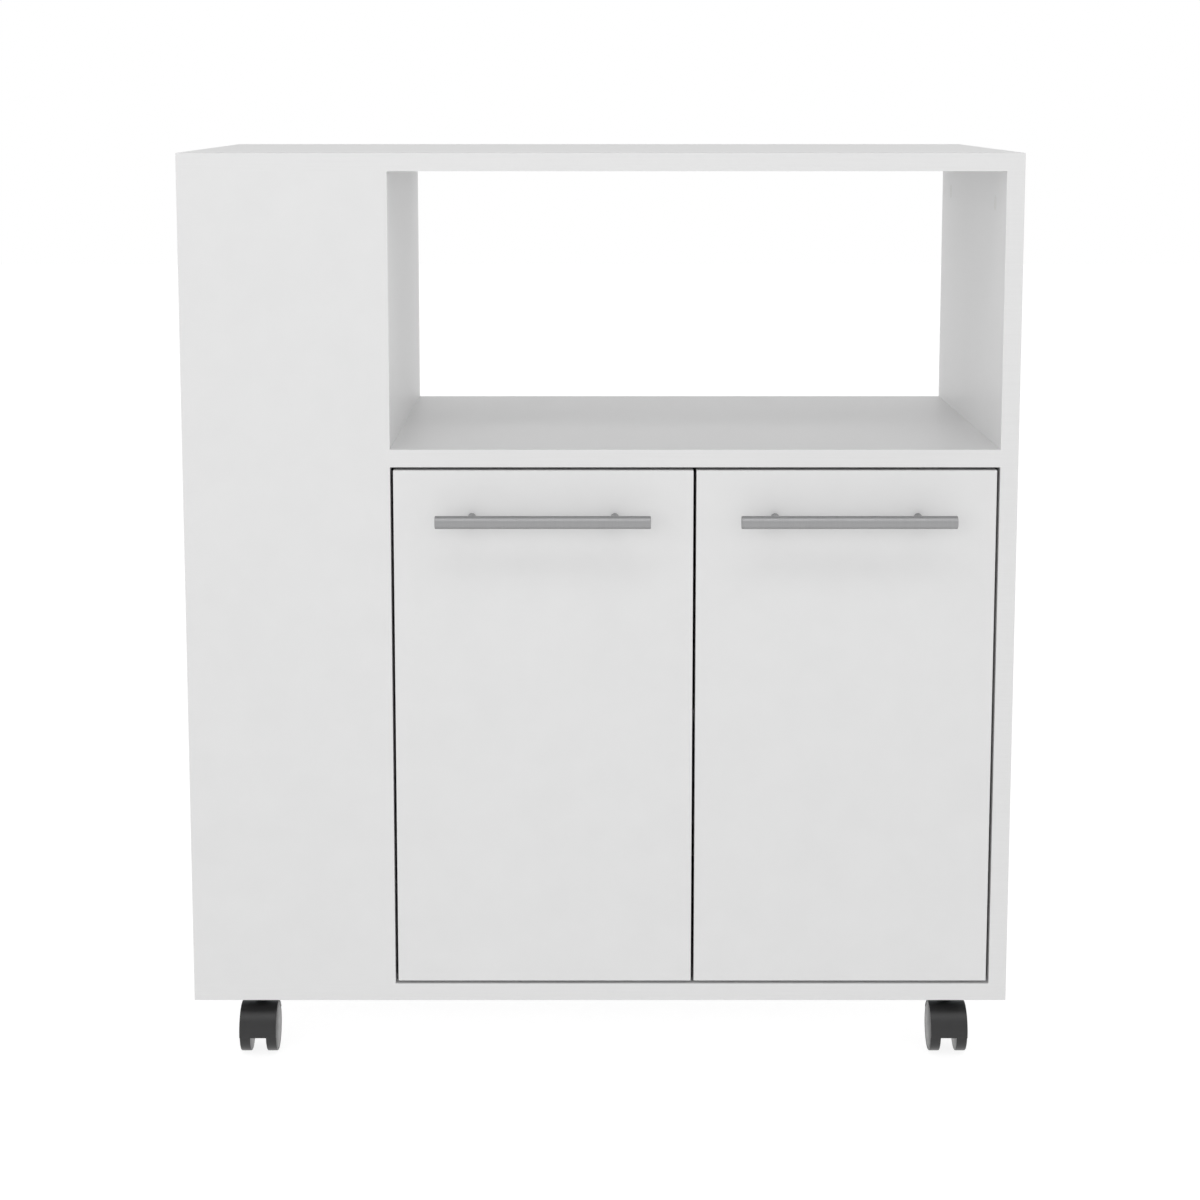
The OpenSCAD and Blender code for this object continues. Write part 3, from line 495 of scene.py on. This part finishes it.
# ---- Boards ------------------------------------------------------------------

# Edges of each board that lie free and are eased. "-y+z" is the edge between the front face and
# the top face.
UPRIGHT_EDGES = ["-x-y", "-x+y", "+x-y", "+x+y"]
ALL_EDGES = UPRIGHT_EDGES + ["-x-z", "-x+z", "+x-z", "+x+z", "-y-z", "-y+z", "+y-z", "+y+z"]
EASED_EDGES = {
    "top_panel": UPRIGHT_EDGES + ["-x+z", "+x+z", "-y+z", "+y+z"],
    "bottom_panel": UPRIGHT_EDGES + ["-x-z", "+x-z", "-y-z", "+y-z"],
    "right_side_panel": ["+x-y", "+x+y"],
    "column_front_panel": ["-x-y", "-x+y"],
    "column_back_panel": ["-x-y", "-x+y"],
    "divider_panel": [],
    "side_shelf_upper": ["-x-z", "-x+z"],
    "side_shelf_lower": ["-x-z", "-x+z"],
    "microwave_shelf": ["-y-z", "-y+z", "+y-z", "+y+z"],
}


def on_side(point, side, corners):
    """True if the point lies on that side of the board's box, such as "-y"."""
    axis = "xyz".index(side[1])
    return abs(point[axis] - corners[side[0] == "+"][axis]) < FLUSH


def along_code(edge, code, corners):
    """True if the edge lies along that edge of the board's box, such as "-y+z"."""
    return all(on_side(v.co, side, corners) for v in edge.verts for side in (code[:2], code[2:]))


def ease(bm, corners, codes, radius):
    """Round the named edges of the board's box."""
    chosen = [edge for edge in bm.edges if any(along_code(edge, code, corners) for code in codes)]
    if chosen:
        bmesh.ops.bevel(bm, geom=chosen, offset=radius, offset_type="OFFSET", segments=3,
                        profile=0.5, affect="EDGES", clamp_overlap=True)


def paint_board(bm, corners, radius):
    """Give each face its material. The band also covers the eased edges."""
    size = corners[1] - corners[0]
    thin = min(range(3), key=lambda axis: size[axis])
    square_on = 0.99
    band_depth = 1.01 * radius
    for face in bm.faces:
        middle = face.calc_center_median()
        reach = [min(abs(middle[a] - corner[a]) for corner in corners) for a in range(3)]
        if abs(face.normal[thin]) > square_on and reach[thin] < FLUSH:
            face.material_index = FACE
        elif min(reach[a] for a in range(3) if a != thin) < band_depth:
            face.material_index = BAND
        else:
            face.material_index = HOLE


def make_board(node, codes, radius, materials, body="cabinet"):
    """Board with eased free edges, banded edges and raw holes, in place of its node."""
    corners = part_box(node)
    bm = whole_faces(node)
    ease(bm, corners, codes, radius)
    paint_board(bm, corners, radius)
    piece = link(mesh_of(bm, node + "_finish"), node + "_finish")
    for material in materials:
        piece.data.materials.append(material)
    stand_for(piece, node, body)


# ---- Settings ----------------------------------------------------------------


class CartBoards(bpy.types.PropertyGroup):
    """Sizes and colours of the boards"""
    board_hex: bpy.props.StringProperty(
        name="Board", description="sRGB colour of the melamine", default="#E6E6E6")
    board_shadow_hex: bpy.props.StringProperty(
        name="Board mottle", description="sRGB colour of the melamine's darker clouds",
        default="#E4E4E4")
    edge_radius: bpy.props.FloatProperty(
        name="Edge radius", description="Rounding of the free board edges",
        default=0.5 * MM, min=0.1 * MM, max=2 * MM, unit="LENGTH", precision=5)
    door_edge_radius: bpy.props.FloatProperty(
        name="Door edge radius", description="Rounding of the doors' edges",
        default=0.7 * MM, min=0.1 * MM, max=2 * MM, unit="LENGTH", precision=5)


class CartMetals(bpy.types.PropertyGroup):
    """Sizes and colours of the handles, and the rounding of the metal's edges"""
    steel_hex: bpy.props.StringProperty(
        name="Steel", description="sRGB colour of the handles' steel", default="#A1A1A2")
    steel_shadow_hex: bpy.props.StringProperty(
        name="Steel lines", description="sRGB colour of the handles' brush lines", default="#9C9C9D")
    bar_rim: bpy.props.FloatProperty(
        name="Bar rim", description="Rounding of the handle bars' ends",
        default=0.8 * MM, min=0.2 * MM, max=2 * MM, unit="LENGTH", precision=5)
    post_seat: bpy.props.FloatProperty(
        name="Post seat", description="How far a handle post stands in its bar",
        default=1.5 * MM, min=0.5 * MM, max=4 * MM, unit="LENGTH", precision=5)
    broken_edge: bpy.props.FloatProperty(
        name="Broken edge", description="Rounding of the edges of screws and sheet metal",
        default=0.2 * MM, min=0.05 * MM, max=0.5 * MM, unit="LENGTH", precision=5)


class CartCasters(bpy.types.PropertyGroup):
    """Colours and rounding of the casters"""
    nylon_hex: bpy.props.StringProperty(
        name="Nylon", description="sRGB colour of the black nylon", default="#1C1C1D")
    nylon_shadow_hex: bpy.props.StringProperty(
        name="Nylon flow", description="sRGB colour of the nylon's darker flow marks", default="#171718")
    mould_radius: bpy.props.FloatProperty(
        name="Mould radius", description="Rounding that the mould leaves on the nylon's edges",
        default=0.25 * MM, min=0.05 * MM, max=0.6 * MM, unit="LENGTH", precision=5)


class CartStage(bpy.types.PropertyGroup):
    """Camera and light"""
    camera_aside: bpy.props.FloatProperty(
        name="Camera aside", description="Camera's distance from the cart's middle plane",
        default=-0.0103, unit="LENGTH")
    camera_back: bpy.props.FloatProperty(
        name="Camera back", description="Camera's distance in front of the cart's front face",
        default=2.471, unit="LENGTH")
    camera_above: bpy.props.FloatProperty(
        name="Camera above", description="Camera's height above the bottom panel's underside",
        default=0.9276, unit="LENGTH")
    camera_tilt: bpy.props.FloatProperty(
        name="Camera tilt", description="How far the camera looks down",
        default=math.radians(7.967), subtype="ANGLE")
    focal_px: bpy.props.FloatProperty(
        name="Focal length", description="Focal length in pixels of the 1200-pixel frame",
        default=2486.4)
    axis_px: bpy.props.FloatVectorProperty(
        name="Lens axis", description="Where the lens axis meets the 1200-pixel frame",
        size=2, default=(590.1, 444.0))
    horizon: bpy.props.FloatProperty(
        name="Room, level", description="Strength of the room's soft light from the sides",
        default=1.02)
    zenith: bpy.props.FloatProperty(
        name="Room, above", description="Strength of the room's soft light from above", default=0.32)
    behind: bpy.props.FloatProperty(
        name="Room, behind", description="How much brighter the room is behind the cart", default=1.4)
    key_power: bpy.props.FloatProperty(
        name="Key light", description="Power of the large soft lamp in front",
        default=35.0, unit="POWER")
    top_power: bpy.props.FloatProperty(
        name="Top light", description="Power of the soft lamp overhead",
        default=10.5, unit="POWER")
    floor_glow: bpy.props.FloatProperty(
        name="Floor glow", description="How bright the floor is by itself", default=0.86)
    floor_matte: bpy.props.FloatProperty(
        name="Floor matte", description="How much of the floor's brightness the shadow takes",
        default=0.32)
    floor_lift: bpy.props.FloatProperty(
        name="Floor lift", description="Light that the floor adds to the underside of things",
        default=0.12)


class CartSettings(bpy.types.PropertyGroup):
    """All settings of the cart"""
    boards: bpy.props.PointerProperty(type=CartBoards)
    metals: bpy.props.PointerProperty(type=CartMetals)
    casters: bpy.props.PointerProperty(type=CartCasters)
    stage: bpy.props.PointerProperty(type=CartStage)


# ---- Operators ---------------------------------------------------------------


class CART_OT_stage(bpy.types.Operator):
    """Set the camera, the soft lamps, the white surroundings and the floor"""
    bl_idname = "cart.stage"
    bl_label = "Stage"

    def execute(self, context):
        stage = context.scene.cart.stage
        self.place_camera(context.scene, stage)
        self.light_world(context.scene, stage)
        self.place_lamps(stage)
        self.lay_floor(stage)
        return {"FINISHED"}

    def place_camera(self, scene, stage):
        data = bpy.data.cameras.new("photo_camera")
        data.sensor_width = SENSOR_MM
        data.lens = stage.focal_px / PHOTO_PX * SENSOR_MM
        data.shift_x = (PHOTO_PX / 2 - stage.axis_px[0]) / PHOTO_PX
        data.shift_y = (stage.axis_px[1] - PHOTO_PX / 2) / PHOTO_PX
        camera = link(data, "photo_camera")
        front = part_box("column_front_panel")[0].y
        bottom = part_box("bottom_panel")[0].z
        camera.location = (stage.camera_aside, front - stage.camera_back, bottom + stage.camera_above)
        camera.rotation_euler = (math.radians(90) - stage.camera_tilt, 0.0, 0.0)
        scene.camera = camera
        scene.view_settings.view_transform = "Standard"

    def light_world(self, scene, stage):
        world = bpy.data.worlds.new("white_studio")
        scene.world = world
        tree = empty_tree(world)
        seen = add(tree, "ShaderNodeBackground", {"Color": grey(1.0), "Strength": 1.0})
        # The room's light falls off from the horizon up, and grows from the middle to the rear.
        direction = add(tree, "ShaderNodeTexCoord").outputs["Generated"]
        along = add(tree, "ShaderNodeSeparateXYZ", {0: direction}).outputs
        level = add(tree, "ShaderNodeMapRange", {
            "Value": along["Z"], "To Min": stage.horizon, "To Max": stage.zenith}).outputs["Result"]
        rear = add(tree, "ShaderNodeMapRange", {
            "Value": along["Y"], "To Min": 1.0, "To Max": stage.behind}).outputs["Result"]
        strength = add(tree, "ShaderNodeMath", {0: level, 1: rear}, operation="MULTIPLY").outputs[0]
        room = add(tree, "ShaderNodeBackground", {"Color": grey(1.0), "Strength": strength})
        split_by_ray(tree, seen, room, "ShaderNodeOutputWorld")

    def place_lamps(self, stage):
        aim = (LOAD_BOX[0] + LOAD_BOX[1]) / 2
        # Name, place and size in metres, power, and whether metal mirrors the lamp. The one
        # overhead is mirrored: it draws the light line along the handles.
        lamps = (
            ("key_softbox", (-1.2, -4.5, 1.32), (4.0, 2.6), stage.key_power, False),
            ("top_softbox", (0.1, -1.75, 3.0), (3.2, 0.6), stage.top_power, True))
        for name, place, size, power, mirrored in lamps:
            data = bpy.data.lights.new(name, "AREA")
            data.shape = "RECTANGLE"
            data.size, data.size_y = size
            data.energy = power
            lamp = link(data, name)
            lamp.visible_camera = False
            lamp.visible_glossy = mirrored
            lamp.location = place
            lamp.rotation_euler = (Vector(place) - aim).to_track_quat("Z", "Y").to_euler()

    def lay_floor(self, stage):
        bm = bmesh.new()
        bmesh.ops.create_grid(bm, x_segments=1, y_segments=1, size=FLOOR_HALF_WIDTH)
        floor = link(mesh_of(bm, "studio_floor"), "studio_floor")
        material = bpy.data.materials.new("white_floor")
        tree = empty_tree(material)
        # The eye sees a floor that is white by itself and keeps the cart's shadow.
        matte = add(tree, "ShaderNodeBsdfDiffuse", {"Color": grey(stage.floor_matte)})
        glow = add(tree, "ShaderNodeEmission", {"Color": grey(1.0), "Strength": stage.floor_glow})
        seen = add(tree, "ShaderNodeAddShader", {0: matte.outputs[0], 1: glow.outputs[0]})
        # Things are lit by white paper, a little lifted.
        white = add(tree, "ShaderNodeBsdfDiffuse", {"Color": grey(0.9)})
        lift = add(tree, "ShaderNodeEmission", {"Color": grey(1.0), "Strength": stage.floor_lift})
        paper = add(tree, "ShaderNodeAddShader", {0: white.outputs[0], 1: lift.outputs[0]})
        split_by_ray(tree, seen, paper, "ShaderNodeOutputMaterial")
        floor.data.materials.append(material)


class CART_OT_boards(bpy.types.Operator):
    """Finish the boards of the cabinet"""
    bl_idname = "cart.boards"
    bl_label = "Boards"

    def execute(self, context):
        settings = context.scene.cart.boards
        materials = [melamine(settings), edge_band(settings), particle_board()]
        for node, codes in EASED_EDGES.items():
            make_board(node, codes, settings.edge_radius, materials)
        make_board("cupboard_shelf", ALL_EDGES, settings.edge_radius, materials)
        for side in SIDES:
            make_board(side + "_door", ALL_EDGES, settings.door_edge_radius, materials, side + "_door")
        dress("cupboard_back", hardboard())
        return {"FINISHED"}


class CART_OT_fittings(bpy.types.Operator):
    """Finish the shelf pins, cams, bolts and dowels"""
    bl_idname = "cart.fittings"
    bl_label = "Fittings"

    def execute(self, context):
        plated = zinc()
        for node in ("shelf_pins", "cam_housings", "cam_bolts"):
            dress(node, plated)
        dress("cam_covers", cap_plastic())
        dress("dowels", beech())
        return {"FINISHED"}


class CART_OT_handles(bpy.types.Operator):
    """Finish the handles"""
    bl_idname = "cart.handles"
    bl_label = "Handles"

    def execute(self, context):
        settings = context.scene.cart.metals
        steel = turned_steel(settings)
        plated = zinc()
        for side in SIDES:
            self.turn_bar(side, steel, settings.bar_rim)
            self.turn_posts(side, steel, settings.post_seat)
            finished(side + "_handle_screws", plated, settings.broken_edge, side + "_door")
        return {"FINISHED"}

    def turn_bar(self, side, steel, rim):
        node = side + "_handle_bar"
        low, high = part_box(node)
        half = (high.x - low.x) / 2
        radius = (high.z - low.z) / 2
        profile = rounded_end(-half, 1, radius, rim) + rounded_end(half, -1, radius, rim)
        bar = turned(side + "_bar_turned", profile, (low + high) / 2, 0)
        bar.data.materials.append(steel)
        stand_for(bar, node, side + "_door")

    def turn_posts(self, side, steel, seat):
        node = side + "_handle_posts"
        low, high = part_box(node)
        radius = (high.z - low.z) / 2
        bar_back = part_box(side + "_handle_bar")[1].y
        profile = [(bar_back - seat, radius), (high.y, radius)]
        for x in (low.x + radius, high.x - radius):
            post = turned(node + "_turned", profile, Vector((x, 0.0, (low.z + high.z) / 2)), 1)
            post.data.materials.append(steel)
            stand_for(post, node, side + "_door")


class CART_OT_hinges(bpy.types.Operator):
    """Finish the concealed hinges"""
    bl_idname = "cart.hinges"
    bl_label = "Hinges"

    def execute(self, context):
        settings = context.scene.cart.metals
        bright = nickel()
        plated = zinc()
        edge = settings.broken_edge
        for side in SIDES:
            for part, body in (("_hinge_cups", "_door"), ("_swing_links", "_swing_link"),
                               ("_cup_links", "_cup_link")):
                finished(side + part, bright, edge, side + body)
            for part in ("_cup_pins", "_link_pins"):
                dress(side + part, plated)
            finished(side + "_cup_screws", plated, edge, side + "_door",
                     recessed=True)
        for node in ("hinge_plates", "hinge_arms"):
            finished(node, bright, edge)
        dress("hinge_arm_pins", plated)
        finished("hinge_screws", plated, edge, recessed=True)
        return {"FINISHED"}


class CART_OT_casters(bpy.types.Operator):
    """Finish the casters"""
    bl_idname = "cart.casters"
    bl_label = "Casters"

    def execute(self, context):
        settings = context.scene.cart.casters
        hood = nylon("moulded_black_nylon", settings, 0.34, 0.42, 0.9)
        wheel = nylon("black_nylon_wheel", settings, 0.28, 0.36, 1.1)
        plated = zinc()
        edge = settings.mould_radius
        for corner in CORNERS:
            finished(corner + "_hood", hood, edge, corner + "_caster")
            dress(corner + "_axle", plated)
            for name in (corner + "_wheel_a", corner + "_wheel_b"):
                finished(name, wheel, edge, name)
        for node in ("caster_plates", "caster_kingpins", "caster_screws"):
            dress(node, plated)
        return {"FINISHED"}


class CART_PT_panel(bpy.types.Panel):
    """Sidebar panel with the steps in order"""
    bl_idname = "CART_PT_panel"
    bl_label = "Microwave Cart"
    bl_space_type = "VIEW_3D"
    bl_region_type = "UI"
    bl_category = "Cart"

    def draw(self, context):
        for operator in OPERATORS:
            self.layout.operator(operator.bl_idname)


OPERATORS = (CART_OT_stage, CART_OT_boards, CART_OT_fittings, CART_OT_handles, CART_OT_hinges,
             CART_OT_casters)
CLASSES = (CartBoards, CartMetals, CartCasters, CartStage, CartSettings) + OPERATORS + (CART_PT_panel,)


def register():
    for cls in CLASSES:
        bpy.utils.register_class(cls)
    bpy.types.Scene.cart = bpy.props.PointerProperty(type=CartSettings)


def unregister():
    del bpy.types.Scene.cart
    for cls in reversed(CLASSES):
        bpy.utils.unregister_class(cls)


def main():
    register()
    for operator in OPERATORS:
        group, name = operator.bl_idname.split(".")
        getattr(getattr(bpy.ops, group), name)()


if __name__ == "__main__":
    main()
